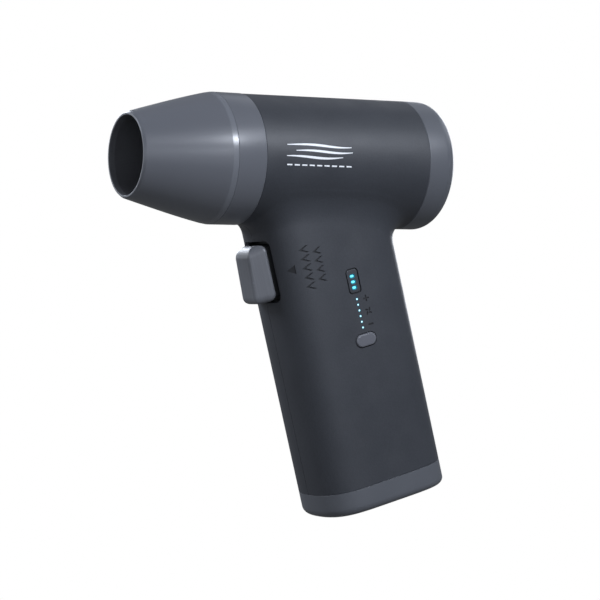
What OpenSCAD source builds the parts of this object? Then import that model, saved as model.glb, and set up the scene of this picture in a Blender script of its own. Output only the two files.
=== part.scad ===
// Pistol-grip cordless air blower for drying a car.
// Frame: origin at the centre of the flat underside of the grip, +Z up the grip,
// nozzle towards -X, control panel on the -Y side. Millimetres.
// "barrel frame": same origin logic on the barrel axis, local -X towards the nozzle.

/* [Barrel] */
// Outer diameter of the barrel at its front end
barrel_d = 52; // [51.5:0.1:52.4]
// Outer diameter of the barrel at its rear end
barrel_rear_d = 53; // [52.5:0.1:53.4]
// Nose-up tilt of the barrel over the grip, degrees
barrel_tilt = 14.1; // [13.6:0.1:14.6]
// Height of the barrel axis above the underside
barrel_z = 141.7; // [141.3:0.1:142.1]
// Barrel centre, fore and aft of the grip axis
barrel_x = -0.6; // [-0.9:0.1:-0.3]
// Joint of collar and housing, along the barrel
housing_front = -29.4; // [-29.6:0.1:-29.2]
// Joint of housing and rear cap, along the barrel
housing_rear = 45.6; // [45.2:0.1:46]
// Bore inside the housing that carries the fan module
barrel_bore_d = 47.6; // [47.5:0.1:47.7]

/* [Nozzle] */
// Joint of nozzle and collar, along the barrel
nozzle_seam = -41.6; // [-41.8:0.1:-41.4]
// Front end of the nozzle, along the barrel
nozzle_tip = -77.5; // [-80:0.5:-74]
// Diameter of the air outlet
outlet_d = 31; // [30:0.5:31]
// Outer diameter of the lip round the outlet
lip_d = 33.8; // [33.4:0.1:34]

/* [Rear cap] */
// Rear end of the cap, along the barrel
cap_rear = 59.5; // [59.2:0.1:59.8]
// Rounding of the cap's rear edge
cap_round = 6.2; // [6:0.5:7]

/* [Grip] */
// Front-to-back size of the grip
grip_depth = 59.2; // [58.8:0.1:59.4]
// Side-to-side size of the grip
grip_width = 39; // [38.8:0.1:39.6]
// Wall of the grip shells
grip_wall = 2.4; // [2.2:0.1:2.5]
// Height of the base cap
base_h = 10; // [10:0.5:10.5]
// Radius of the blend from the grip's sides into the barrel
side_blend = 28; // [24:1:32]
// Radius of the blend at the grip's front and rear
end_blend = 6; // [4:0.5:6]

/* [Trigger] */
// Travel of the trigger
trigger_travel = 3.5; // [2.5:0.5:3.5]
// How far the trigger stands out in front of the grip
trigger_out = 7.6; // [7:0.2:8.2]
// Lowest point of the trigger
trigger_z0 = 90.8; // [90.6:0.1:91]
// Highest point of the trigger
trigger_z1 = 114.4; // [114:0.1:114.6]

/* [Control panel] */
// Centre of the speed button above the underside
button_z = 67.4; // [67.2:0.1:67.6]
// Travel of the speed button
button_travel = 0.7; // [0.4:0.1:0.7]
// Pitch of the indicator dots and bars
dot_pitch = 2.34; // [2.3:0.01:2.36]

/* [Fan] */
// Number of impeller blades
impeller_blades = 11; // [7:1:13]
// Number of guide vanes behind the impeller
guide_vanes = 9; // [5:1:11]
// Number of ribs in the intake grille
grille_ribs = 24; // [16:2:28]

/* [Hidden] */
$fn = 64;
e = 0.01;

ga = grip_depth/2;            // half depth of the grip
gb = grip_width/2;            // half width of the grip
br = barrel_d/2;
brr = barrel_rear_d/2;
bore_r = barrel_bore_d/2;
lip_r = lip_d/2;
out_r = outlet_d/2;
panel_x = 0.5;                // indicator column, fore and aft
button_x = 0.7;
cell_r = 9.1;                 // 18650 cell
cell_x = 9.4;
cell_y = 4.6;
cell_z = 24;
cell_l = 65;
boss_xz = [[-21.6, 28], [21.6, 28], [-21.6, 74], [21.6, 74], [21.6, 101]];
top_boss = [18, -21.2];       // under the fan, in the barrel frame

// ---------- helpers ----------
function oval(a, b, n = 64, p = 4.6, q = 2.3) = [for (i = [0:n-1]) let(t = (i+0.5)*360/n, c = cos(t), s = sin(t))
  [a*sign(c)*pow(abs(c), 2/p), b*sign(s)*pow(abs(s), 2/q)]];
function rrect(w, h, r, k = 6) = [for (c = [[1,1,0],[-1,1,90],[-1,-1,180],[1,-1,270]]) for (i = [0:k])
  [c[0]*(w/2-r) + r*cos(c[2]+i*90/k), c[1]*(h/2-r) + r*sin(c[2]+i*90/k)]];
function arc(cx, cy, r, a0, a1, k = 10) = [for (i = [0:k]) let(a = a0+(a1-a0)*i/k) [cx+r*cos(a), cy+r*sin(a)]];
function unit(v) = v/norm(v);
function at(pts, i) = pts[max(0, min(len(pts)-1, i))];
function curve(pts, k = 5) = [for (i = [0:len(pts)-2]) for (j = [0:k-1]) let(t = j/k,
    a = at(pts,i-1), b = at(pts,i), c = at(pts,i+1), d = at(pts,i+2))
    0.5*(2*b + t*(c-a) + t*t*(2*a-5*b+4*c-d) + t*t*t*(3*b-a-3*c+d)), pts[len(pts)-1]];
// closed solid through equal rings, first ring lowest
module loft(s) {
  n = len(s[0]); m = len(s);
  polyhedron(points = [for (r = s) for (p = r) p],
    faces = concat([[for (i = [0:n-1]) i]], [[for (i = [0:n-1]) (m-1)*n+n-1-i]],
      [for (j = [0:m-2]) for (i = [0:n-1]) [j*n+i, (j+1)*n+i, (j+1)*n+(i+1)%n]],
      [for (j = [0:m-2]) for (i = [0:n-1]) [j*n+i, (j+1)*n+(i+1)%n, j*n+(i+1)%n]]), convexity = 6);
}
// round wire along points
module wire(pts, r, n = 8, ref = [0.94, 0.33, 0.07]) {
  loft([for (i = [0:len(pts)-1]) let(t = unit(at(pts,i+1)-at(pts,i-1)), u = unit(cross(t, ref)), v = cross(t, u))
    [for (k = [0:n-1]) pts[i] + r*(cos(k*360/n)*u + sin(k*360/n)*v)]]);
}
module barrel_frame() translate([barrel_x, 0, barrel_z]) rotate([0, barrel_tilt, 0]) children();
// local Z runs rearward along the barrel from x
module along(x = 0) translate([x, 0, 0]) rotate([0, 90, 0]) children();
// turned part from [position along barrel, radius] points
module turned(pts) barrel_frame() rotate([0, 90, 0]) rotate_extrude($fn = 96) polygon([for (p = pts) [p[1], p[0]]]);
module ring(x0, x1, ro, ri) barrel_frame() along(x0) difference() {
  cylinder(h = x1-x0, r = ro); translate([0,0,-1]) cylinder(h = x1-x0+2, r = ri);
}
module side_prism(pts, y0, y1) translate([0, y1, 0]) rotate([90, 0, 0]) linear_extrude(y1-y0) polygon(pts);

// ---------- main shells ----------
function axis_x(z) = -barrel_x*cos(barrel_tilt) - tan(barrel_tilt)*(z + barrel_x*sin(barrel_tilt));
blend_h = sqrt(pow(br+side_blend, 2) - pow(gb+side_blend, 2));
function side_add(z) = z <= -blend_h ? 0 : side_blend - sqrt(pow(side_blend,2) - pow(z+blend_h, 2));
function end_add(z) = let(d = -br-z) d >= end_blend ? 0 : d <= 0 ? end_blend : end_blend - sqrt(pow(end_blend,2) - pow(end_blend-d, 2));
module neck_blend() barrel_frame()
  loft([for (z = [-br-end_blend-0.5, -br-0.6*end_blend, -br-0.3*end_blend, -br-0.1*end_blend, -br+0.2, -23, -19.5, -16, -12.6])
    [for (p = oval(ga/cos(barrel_tilt), gb+side_add(z), 48)) let(k = abs(p[0])/ga)
      [max(housing_front, min(housing_rear, axis_x(z) + p[0] + sign(p[0])*end_add(z)*min(1, k*k))), p[1], z]]]);

module barrel_solid(r_add = 0) barrel_frame() along(housing_front)
  cylinder(h = housing_rear-housing_front, r1 = br+r_add, r2 = brr+r_add, $fn = 128);

module housing_full() {
  difference() {
    union() {
      barrel_solid();
      translate([0,0,base_h]) linear_extrude(barrel_z-8-base_h) polygon(oval(ga, gb));
      neck_blend();
    }
    barrel_frame() along(housing_front-1) cylinder(h = housing_rear-housing_front+2, r = bore_r, $fn = 128);
    // groove that traps the collar
    barrel_frame() along(-27.4) cylinder(h = 1.8, r = 24.7, $fn = 128);
    // inside of the grip, under the barrel's floor
    difference() {
      translate([0,0,base_h-1]) linear_extrude(barrel_z-base_h-6) polygon(oval(ga-grip_wall, gb-grip_wall));
      barrel_solid();
    }
    // wire way from the fan into the grip
    translate([-8, -8, 100]) cube([22, 16, 30]);
    // trigger opening, and the shallow recess round it
    translate([-40, 0, (trigger_z0+trigger_z1)/2]) rotate([0, 90, 0]) linear_extrude(17)
      polygon(rrect(trigger_z1-trigger_z0+1.2, 18.8, 1.6));
    difference() {
      translate([-40, 0, (trigger_z0+trigger_z1)/2]) rotate([0, 90, 0]) linear_extrude(20)
        polygon(rrect(trigger_z1-trigger_z0+2, 22, 3));
      translate([0,0,base_h]) linear_extrude(barrel_z-8-base_h) polygon(oval(ga-1.5, gb-1.5));
    }
  }
}
module bosses(side) {
  for (p = boss_xz) translate([p[0], 0, p[1]]) rotate([side > 0 ? -90 : 90, 0, 0]) cylinder(h = 14.5, r = 2.65);
  barrel_frame() translate([top_boss[0], 0, top_boss[1]]) rotate([side > 0 ? -90 : 90, 0, 0]) cylinder(h = 12.5, r = 2.65);
  // post for the base cap's screw
  translate([0, side*10, base_h]) cylinder(h = 7, r = 2.8);
  translate([-1, side > 0 ? 12 : -17.6, base_h]) cube([2, 5.6, 7]);
}
module boss_holes(r, depth_from, depth_to) {
  for (p = boss_xz) translate([p[0], depth_to, p[1]]) rotate([90, 0, 0]) cylinder(h = depth_to-depth_from, r = r);
  barrel_frame() translate([top_boss[0], depth_to, top_boss[1]]) rotate([90, 0, 0]) cylinder(h = depth_to-depth_from, r = r);
}
module stadium_y(x, z, w, h, y0, y1) translate([x, 0, z]) side_prism(rrect(w, h, h/2-0.01, 10), y0, y1);

module left_housing() color([0.22, 0.23, 0.26]) difference() {
  union() {
    intersection() { housing_full(); translate([-100, -60, 0]) cube([200, 60, 220]); }
    bosses(-1);
    // bosses for the control board
    for (p = [[-6.5, 101], [6.5, 60]]) translate([p[0], -12.6, p[1]]) rotate([90,0,0]) cylinder(h = 4.9, r = 1.8);
  }
  boss_holes(1.2, -8, 1);
  translate([0, -10, base_h-1]) cylinder(h = 7, r = 1.2);
  for (p = [[-6.5, 101], [6.5, 60]]) translate([p[0], -12, p[1]]) rotate([90,0,0]) cylinder(h = 5, r = 0.85);
  stadium_y(button_x, button_z, 10.1, 5.8, -25, -15);
  translate([0.6, 0, 91.6]) side_prism(rrect(5.7, 10.1, 1.4), -25, -15);
  for (i = [0:5]) translate([panel_x, -15, 84.2-i*dot_pitch]) rotate([90,0,0]) cylinder(h = 10, r = 0.5, $fn = 24);
}
module right_housing() color([0.22, 0.23, 0.26]) difference() {
  union() {
    intersection() { housing_full(); translate([-100, 0, 0]) cube([200, 60, 220]); }
    bosses(1);
  }
  boss_holes(1.35, -1, 10);
  boss_holes(2.05, 7.5, 30);
  translate([0, 10, base_h-1]) cylinder(h = 7, r = 1.2);
}
module screw_y(x, z, head_y, tip_y, r, hr, hh) translate([x, head_y, z]) {
  rotate([90,0,0]) cylinder(h = head_y-tip_y, r = r);
  difference() {
    rotate([-90,0,0]) cylinder(h = hh, r = hr);
    for (a = [0, 90]) rotate([0, a, 0]) translate([-1.3, hh-0.8, -0.25]) cube([2.6, 2, 0.5]);
  }
}
module housing_screws() color([0.6, 0.6, 0.62]) {
  for (p = boss_xz) screw_y(p[0], p[1], 7.5, -6, 1.15, 1.9, 1.8);
  barrel_frame() screw_y(top_boss[0], top_boss[1], 7.5, -6, 1.15, 1.9, 1.8);
}

// ---------- collar and nozzle ----------
module front_collar() color([0.38, 0.39, 0.43]) turned([
  [nozzle_seam, 23.6], [nozzle_seam, br-0.15], [nozzle_seam+0.25, br+0.15], [housing_front-0.25, br+0.15], [housing_front, br-0.05],
  [housing_front, 23.7], [-27.2, 23.7], [-27.2, 24.6], [-25.8, 24.6], [-25.8, 23.7], [-24, 23.7], [-24, 21.5], [-33, 21.5], [-33, 23.6]]);
cone_end = nozzle_seam-2.9;
module nozzle() color([0.38, 0.39, 0.43]) turned(concat(
  [[nozzle_tip, out_r+0.1], [nozzle_tip, lip_r-0.6], [nozzle_tip+0.25, lip_r-0.25], [nozzle_tip+0.9, lip_r+0.05]],
  [[cone_end-0.5, br-0.42], [cone_end+0.6, br-0.16], [cone_end+1.6, br-0.04], [nozzle_seam-0.45, br], [nozzle_seam-0.15, br-0.25], [nozzle_seam-0.1, 23.52]],
  [[-38.5, 23.52], [-38.5, 22.6], [-36.5, 22.6], [-36.5, 23.52], [-34.2, 23.52], [-33.9, 23.2], [-33.9, 21.6]],
  [[nozzle_seam, 21.6], [nozzle_seam-3, 22.4], [nozzle_tip+10, out_r+1.6], [nozzle_tip+3.5, out_r], [nozzle_tip+0.2, out_r]]));
module nozzle_seal() color([0.08, 0.08, 0.08]) turned([[-38.4, 22.65], [-38.4, 23.3], [-37.9, 23.55], [-37.1, 23.55], [-36.6, 23.3], [-36.6, 22.65]]);

// ---------- rear cap ----------
module rear_cap() color([0.38, 0.39, 0.43]) turned(concat(
  [[housing_rear, 23.72], [housing_rear, brr-0.15], [housing_rear+0.2, brr]],
  arc(cap_rear-cap_round, brr-cap_round, cap_round, 90, 0, 10),
  [[cap_rear, 18.6], [cap_rear-0.4, 18.2], [56.2, 18.2], [56.2, 21.2], [40.5, 21.2], [40.5, 23.5], [40.8, 23.72]]));
module intake_grille() color([0.2, 0.2, 0.22]) barrel_frame() {
  along(56.5) difference() { cylinder(h = 1.7, r = 18.1); translate([0,0,-1]) cylinder(h = 4, r = 16.9); }
  along(55.4) difference() { cylinder(h = 0.75, r = 21); translate([0,0,-1]) cylinder(h = 4, r = 17.2); }
  along(55.6) difference() { cylinder(h = 1.6, r = 17.6); translate([0,0,-1]) cylinder(h = 4, r = 16.9); }
  along(56.5) cylinder(h = 1.7, r = 4);
  for (r = [8.2, 12.6]) along(56.9) difference() { cylinder(h = 1.1, r = r+0.5); translate([0,0,-1]) cylinder(h = 4, r = r-0.5); }
  for (i = [0:grille_ribs-1]) along(56.6) rotate([0,0,i*360/grille_ribs]) translate([3.6, -0.45, 0]) cube([13.6, 0.9, 1.4]);
}
module intake_filter() color([0.75, 0.75, 0.75]) barrel_frame() {
  along(53.4) difference() { cylinder(h = 1.6, r = 20.9); translate([0,0,-1]) cylinder(h = 4, r = 19); }
  along(54) linear_extrude(0.4) difference() {
    circle(r = 19.4);
    for (x = [-6:6]) for (y = [-6:6]) if (norm([x,y])*2.7 < 17.4) translate([x*2.7, y*2.7]) square(2.1, center = true);
  }
}
module filter_clip() color([0.1, 0.1, 0.1]) ring(52, 53.2, 21.1, 19.4);

// ---------- fan module ----------
module motor_duct() color([0.7, 0.71, 0.73]) barrel_frame() {
  along(-8) difference() { cylinder(h = 38, r = 18.4); translate([0,0,-1]) cylinder(h = 40, r = 17.2); }
  along(-8) difference() {
    cylinder(h = 20, r = 8.6);
    translate([0,0,-1]) cylinder(h = 22, r = 4.03);
    translate([0,0,3]) cylinder(h = 18, r = 7.6);
  }
  for (i = [0:guide_vanes-1]) along(2) rotate([0, 0, i*360/guide_vanes]) intersection() {
    translate([12.9, 0, 0]) rotate([-18, 0, 0]) cube([9.6, 0.9, 14], center = true);
    difference() { cylinder(h = 16, r = 17.8, center = true); cylinder(h = 17, r = 8.2, center = true); }
  }
}
module motor_end_cap() color([0.66, 0.67, 0.7]) turned([[12, 4.03], [12, 7.55], [12.05, 8.6], [15.5, 8.2], [15.5, 2.3], [15.1, 2.3], [15.1, 4.03]]);
module tail_cone() color([0.12, 0.12, 0.13]) turned([[-8.05, 7.8], [-8.05, 8.6], [-12, 8.3], [-16, 7.2], [-20, 5.4], [-24, 2.9], [-26, 1.2], [-26.6, 0], [-25, 0], [-23, 2], [-19, 4.5], [-15, 6.3], [-11, 7.5]]);
module inlet_ring() color([0.12, 0.12, 0.13]) turned(concat([[30.05, 17.2]], arc(31, 21.2, 4, 270, 340, 8), [[36.4, 22.4], [36.4, 23.5], [34.8, 23.5], [33.6, 22.2], [31.6, 19.3], [30.05, 18.4]]));
module outlet_duct() color([0.12, 0.12, 0.13]) turned([[-8.05, 17.2], [-8.05, 18.4], [-10, 18.4], [-24.6, 21.35], [-28.9, 21.35], [-28.9, 20.6]]);
module damper(x) turned([[x, 18.45], [x, 21], [x+1.2, 21.2], [x+1.2, 23.3], [x+1.8, 23.75], [x+4.2, 23.75], [x+4.8, 23.3], [x+4.8, 21.2], [x+6, 21], [x+6, 18.45]]);
module front_damper() color([0.06, 0.06, 0.06]) damper(-7);
module rear_damper() color([0.06, 0.06, 0.06]) damper(22);
module stator_core() color([0.5, 0.5, 0.52]) barrel_frame() along(-2) linear_extrude(10) union() {
  difference() { circle(r = 7.55); circle(r = 6.3); }
  for (a = [0, 120, 240]) rotate(a) {
    translate([3.9, -1]) square([2.8, 2]);
    intersection() { difference() { circle(r = 4.3); circle(r = 3.4); } translate([0, -2.5]) square([5, 5]); }
  }
}
module stator_windings() color([0.72, 0.42, 0.2]) barrel_frame() along(-4.2) for (a = [0, 120, 240]) rotate([0, 0, a]) difference() {
  intersection() {
    difference() { cylinder(h = 14.4, r = 6.2); translate([0,0,-1]) cylinder(h = 17, r = 4.4); }
    translate([0, -3.1, 0]) cube([8, 6.2, 14.4]);
  }
  translate([3, -1.05, 2.15]) cube([5, 2.1, 10.1]);
}
module bearing(x) ring(x, x+3, 4, 1.53);
module front_bearing() color([0.75, 0.76, 0.78]) bearing(-8);
module rear_bearing() color([0.75, 0.76, 0.78]) bearing(12.1);
module motor_board() color([0.05, 0.3, 0.15]) ring(-10.2, -9, 7.3, 2.4);
module motor_shaft() color([0.8, 0.8, 0.82]) barrel_frame() along(-8.4) cylinder(h = 38.4, r = 1.5);
module rotor_magnet() color([0.35, 0.35, 0.37]) ring(-2, 8, 3, 1.5);
module impeller() color([0.16, 0.17, 0.19]) barrel_frame() {
  along(17) difference() { cylinder(h = 10, r = 8.4); translate([0,0,-1]) cylinder(h = 12, r = 1.5); translate([0,0,-1]) difference() { cylinder(h = 7, r = 7.4); translate([0,0,-1]) cylinder(h = 9, r = 2.8); } }
  for (i = [0:impeller_blades-1]) along(22) rotate([0, 0, i*360/impeller_blades]) intersection() {
    translate([12.5, 0, 0]) rotate([38, 0, 0]) cube([9.4, 0.9, 15], center = true);
    difference() { cylinder(h = 9, r = 16.9, center = true); cylinder(h = 10, r = 8, center = true); }
  }
}
module spinner() color([0.16, 0.17, 0.19]) turned([[27, 1.5], [27, 8.4], [28.2, 7.9], [29.4, 6.6], [30.6, 4.2], [31.2, 0], [30, 0], [30, 1.5]]);

// ---------- battery ----------
module cell(sx) translate([sx*cell_x, cell_y, cell_z]) {
  cylinder(h = cell_l-0.6, r = cell_r);
  translate([0, 0, cell_l-0.7]) cylinder(h = 0.7, r = 4.2);
}
module battery_cell_front() color([0.2, 0.45, 0.65]) cell(-1);
module battery_cell_rear() color([0.2, 0.45, 0.65]) cell(1);
module holder(z0, z1, wz0, wz1) difference() {
  translate([0, cell_y-0.2, z0]) linear_extrude(z1-z0) polygon(rrect(37.8, 20.4, 8));
  for (s = [-1, 1]) translate([s*cell_x, cell_y, 0]) {
    translate([0,0,wz0]) cylinder(h = wz1-wz0, r = cell_r+0.08);
    translate([0,0,z0-1]) cylinder(h = z1-z0+2, r = 5.2);
  }
  translate([-10, cell_y-4.2, z0-1]) cube([20, 8.4, z1-z0+2]);
}
module battery_holder_bottom() color([0.1, 0.1, 0.1]) holder(20, 32, cell_z-0.4, 33);
module battery_holder_top() color([0.1, 0.1, 0.1]) holder(82, 92, 81, cell_z+cell_l+0.4);
module nickel_tabs() color([0.8, 0.8, 0.78]) {
  translate([-cell_x-4, cell_y-3.5, cell_z+cell_l]) cube([2*cell_x+8, 7, 0.25]);
  for (s = [-1, 1]) translate([s*cell_x-4, cell_y-3.5, cell_z-0.25]) cube([8, 7, 0.25]);
}
module battery_board() color([0.05, 0.3, 0.15]) translate([0, cell_y-0.2, 92]) difference() {
  linear_extrude(1.2) polygon(rrect(38, 19, 2));
  for (s = [-1, 1]) translate([s*16, 5, -1]) cylinder(h = 4, r = 1);
}
module battery_foam() color([0.3, 0.3, 0.3]) translate([-12, cell_y+cell_r+0.05, 36]) cube([24, 2.3, 40]);
module smoothing_capacitor() color([0.15, 0.15, 0.2]) {
  translate([8, 5, 93.2]) cylinder(h = 11, r = 4);
  translate([8, 5, 104.2]) cylinder(h = 0.4, r = 3.6);
}

// ---------- control board ----------
module control_board() color([0.05, 0.3, 0.15]) difference() {
  translate([0, 0, 80.5]) side_prism(rrect(18, 47, 1), -12.6, -11);
  for (p = [[-6.5, 101], [6.5, 60]]) translate([p[0], -10, p[1]]) rotate([90,0,0]) cylinder(h = 4, r = 1);
}
module board_screws() color([0.6, 0.6, 0.62]) for (p = [[-6.5, 101], [6.5, 60]]) screw_y(p[0], p[1], -11, -16, 0.8, 1.6, 1.1);
module controller_chip() color([0.07, 0.07, 0.08]) translate([-4, -11, 78]) cube([7, 1.1, 7]);
module mosfets() color([0.07, 0.07, 0.08]) for (x = [-5.2, -0.4, 4.4]) for (z = [87.5, 93.5]) translate([x, -11, z]) cube([4, 1, 5]);
module tact_switch() color([0.2, 0.2, 0.2]) {
  translate([button_x-3, -14.6, button_z-3]) cube([6, 2, 6]);
  translate([button_x, -14.5, button_z]) rotate([90,0,0]) cylinder(h = 0.8, r = 1.5);
}
module indicator_leds() color([0.9, 0.9, 0.8]) {
  for (i = [0:2]) translate([panel_x-0.8, -13.3, 93.6-i*dot_pitch-0.4]) cube([1.6, 0.7, 0.8]);
  for (i = [0:5]) translate([panel_x-0.5, -13.3, 84.2-i*dot_pitch-0.3]) cube([1, 0.7, 0.6]);
}
module light_guide() color([0.5, 0.9, 0.95]) {
  translate([panel_x-2.6, -16.5, 71.8]) cube([5.2, 1, 26]);
  for (i = [0:2]) translate([panel_x-0.95, -19.2, 93.6-i*dot_pitch-0.6]) cube([1.9, 2.8, 1.2]);
  for (i = [0:5]) translate([panel_x, -16.4, 84.2-i*dot_pitch]) rotate([90,0,0]) cylinder(h = 3.05, r = 0.42, $fn = 24);
}
module indicator_lens() color([0.1, 0.11, 0.13]) difference() {
  translate([0.6, 0, 91.6]) side_prism(rrect(5.5, 9.9, 1.3), -19.45, -17.2);
  for (i = [0:2]) translate([panel_x-1, -20, 93.6-i*dot_pitch-0.65]) cube([2, 4, 1.3]);
}
module speed_button() color([0.42, 0.43, 0.46]) {
  stadium_y(button_x, button_z, 9.5, 5.2, -20.1, -16.6);
  stadium_y(button_x, button_z, 11.8, 7.4, -16.8, -16.1);
}

// ---------- trigger ----------
tf = -ga-trigger_out;
module trigger() color([0.36, 0.37, 0.41]) difference() {
  union() {
    intersection() {
      translate([0, 0, trigger_z0]) linear_extrude(trigger_z1-trigger_z0) polygon([[-23, 7.6], [-28.6, 7.6], [-28.8, 7.9], [-29.6, 8.1], [tf+2, 5.9], [tf+1, 5.3], [tf+0.3, 4.4], [tf, 3.6],
        [tf, -3.6], [tf+0.3, -4.4], [tf+1, -5.3], [tf+2, -5.9], [-29.6, -8.1], [-28.8, -7.9], [-28.6, -7.6], [-23, -7.6]]);
      side_prism(concat([[-10, trigger_z1]], arc(tf+1.3+3.2, trigger_z1-3.2, 3.2, 90, 176, 6), arc(tf+3.2, trigger_z0+3.2, 3.2, 184, 270, 6), [[-10, trigger_z0]]), -12, 12);
    }
    translate([-24.3, -10.3, trigger_z0-1.4]) cube([1.5, 20.6, trigger_z1-trigger_z0+2.8]);
    translate([-23, 0, 99]) rotate([0,90,0]) cylinder(h = 7.8, r = 1.6);
  }
  translate([-33, 0, 108]) rotate([0,90,0]) cylinder(h = 30, r = 4.3);
  translate([-32.4, -6, trigger_z0+2.4]) cube([9, 12, 4.4]);
  translate([-22.8, -12, trigger_z0+3]) difference() { cube([20, 24, 20]); translate([-1, 10, 93.9-trigger_z0]) cube([30, 4, 4.4]); }
}
module trigger_guide() color([0.14, 0.14, 0.15]) difference() {
  union() {
    translate([-18.9, -12, 94.2]) cube([2, 24, 22.6]);
    translate([-28.8, 0, 108]) rotate([0,90,0]) cylinder(h = 10, r = 2);
    for (s = [-1, 1]) translate([-18.9, s*11-1, 94.2]) cube([7.5, 2, 10]);
  }
  translate([-25, 0, 99]) rotate([0,90,0]) cylinder(h = 10, r = 1.68);
}
module trigger_spring() color([0.75, 0.75, 0.77]) wire([for (i = [0:84]) let(a = i*360/14, x = -32.6+13.4*i/84) [x, 3.05*cos(a), 108+3.05*sin(a)]], 0.35, 6, [1, 0, 0]);
module trigger_switch() color([0.1, 0.1, 0.11]) {
  translate([-10.9, -3.2, 94.4]) cube([6, 6.4, 10.6]);
  translate([-11.4, -1, 97.6]) cube([0.6, 2, 2.8]);
  for (z = [96, 103]) translate([-4.95, -0.4, z-0.6]) cube([1.6, 0.8, 1.2]);
}

// ---------- base ----------
module base_shape(z0, z1, a, b, r) {
  loft(concat([for (k = [0:5]) let(t = k*18, i = r*(1-sin(t))) [for (p = oval(a-i, b-i)) [p[0], p[1], z0+r*(1-cos(t))]]],
    [[for (p = oval(a, b)) [p[0], p[1], z1]]]));
}
module base_cap() color([0.36, 0.37, 0.4]) difference() {
  union() {
    base_shape(0, base_h, ga, gb, 3.6);
    translate([0,0,base_h-0.5]) linear_extrude(3.9) difference() {
      polygon(oval(ga-grip_wall-0.1, gb-grip_wall-0.1));
      polygon(oval(ga-grip_wall-1.4, gb-grip_wall-1.4));
      square([5, 80], center = true);
    }
  }
  difference() {
    translate([0,0,2.3]) linear_extrude(20) polygon(oval(ga-grip_wall-1.4, gb-grip_wall-1.4));
    for (s = [-1, 1]) translate([0, s*10, 0]) cylinder(h = base_h-0.05, r = 3.4);
  }
  for (s = [-1, 1]) translate([0, s*10, 0]) {
    translate([0,0,-1]) cylinder(h = 20, r = 1.4);
    translate([0,0,-1]) cylinder(h = 4.2, r = 2.5);
  }
  // charging port window in the rear wall
  translate([20, 0, 5.03]) rotate([90,0,90]) linear_extrude(12) polygon(rrect(9.6, 3.9, 1.9));
}
module base_screws() color([0.6, 0.6, 0.62]) for (s = [-1, 1]) translate([0, s*10, 0]) {
  translate([0,0,3.2]) cylinder(h = 12, r = 1.15);
  difference() {
    translate([0,0,1.4]) cylinder(h = 1.8, r = 2.2);
    for (a = [0, 90]) rotate([0,0,a]) translate([-1.3, -0.25, 0]) cube([2.6, 0.5, 2.2]);
  }
}
module usb_board() color([0.05, 0.3, 0.15]) translate([12, -6, 2.4]) cube([13, 12, 1]);
module usb_socket() color([0.78, 0.79, 0.8]) {
  translate([21, 0, 5.03]) rotate([90,0,90]) difference() {
    linear_extrude(7.4) polygon(rrect(8.94, 3.26, 1.6));
    translate([0,0,1]) linear_extrude(8) polygon(rrect(8.34, 2.66, 1.3));
  }
  translate([21.5, -3.35, 4.68]) cube([6, 6.7, 0.7]);
}

// ---------- wiring ----------
module motor_leads() color([0.7, 0.15, 0.12]) for (y = [-3, 0, 3])
  wire(curve([[-1.2, y, 122.6], [-1.2, y, 118.6], [y*1.1, y*0.6-3, 112], [y*1.3, -7, 106.5], [y*1.3, -9, 102.4], [y*1.3, -9.9, 101], [y*1.3, -10.88, 101]], 4), 0.75);
module battery_leads() color([0.75, 0.1, 0.1]) for (k = [0, 1])
  wire(curve([[-14+3*k, -3.6, 93.46], [-14+3*k, -3.6, 94.25], [-13.4+3*k, -5.6, 95.6-0.6*k], [-11.6+1.6*k, -8.2, 94.6-2*k], [-9+0.3*k, -9.2, 92.4-2.6*k],
    [-8, -10, 91-2.6*k], [-8, -10.88, 91-2.6*k]], 4), 0.7);
module switch_leads() color([0.1, 0.1, 0.1]) for (k = [0, 1])
  wire(curve([[-3.15, -0.2, 103-7*k], [-2.45, -0.2, 103-7*k], [-2.1, -2.6, 102-4.6*k], [-4.2, -5.9, 100.4-2.4*k], [-7.2, -8.6, 98.6-2*k], [-8, -10, 98.2-2*k], [-8, -10.9, 98.2-2*k]], 4), 0.5);
module usb_leads() color([0.1, 0.1, 0.1]) for (k = [0, 1])
  wire(curve([[14+2.4*k, -3, 3.46], [14+2.4*k, -3, 4.6], [13+2.4*k, -4.6, 7], [9.5+2.4*k, -11, 13], [6+2*k, -13.4, 24], [5+1.8*k, -13.6, 40], [4.6+1.8*k, -12.6, 51],
    [4.6+1.8*k, -11.8, 55.6], [4.6+1.8*k, -11.8, 56.93]], 4), 0.5);

left_housing();
right_housing();
housing_screws();
front_collar();
base_cap();
base_screws();
nozzle();
nozzle_seal();
rear_cap();
intake_grille();
intake_filter();
filter_clip();
motor_duct();
motor_end_cap();
tail_cone();
inlet_ring();
outlet_duct();
front_damper();
rear_damper();
stator_core();
stator_windings();
front_bearing();
rear_bearing();
motor_board();
motor_shaft();
rotor_magnet();
impeller();
spinner();
battery_cell_front();
battery_cell_rear();
battery_holder_bottom();
battery_holder_top();
nickel_tabs();
battery_board();
battery_foam();
smoothing_capacitor();
control_board();
board_screws();
controller_chip();
mosfets();
tact_switch();
indicator_leds();
light_guide();
indicator_lens();
speed_button();
trigger();
trigger_guide();
trigger_spring();
trigger_switch();
usb_board();
usb_socket();
motor_leads();
battery_leads();
switch_leads();
usb_leads();
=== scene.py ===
import bpy, bmesh, math
import numpy as np
from mathutils import Matrix, Vector


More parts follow.
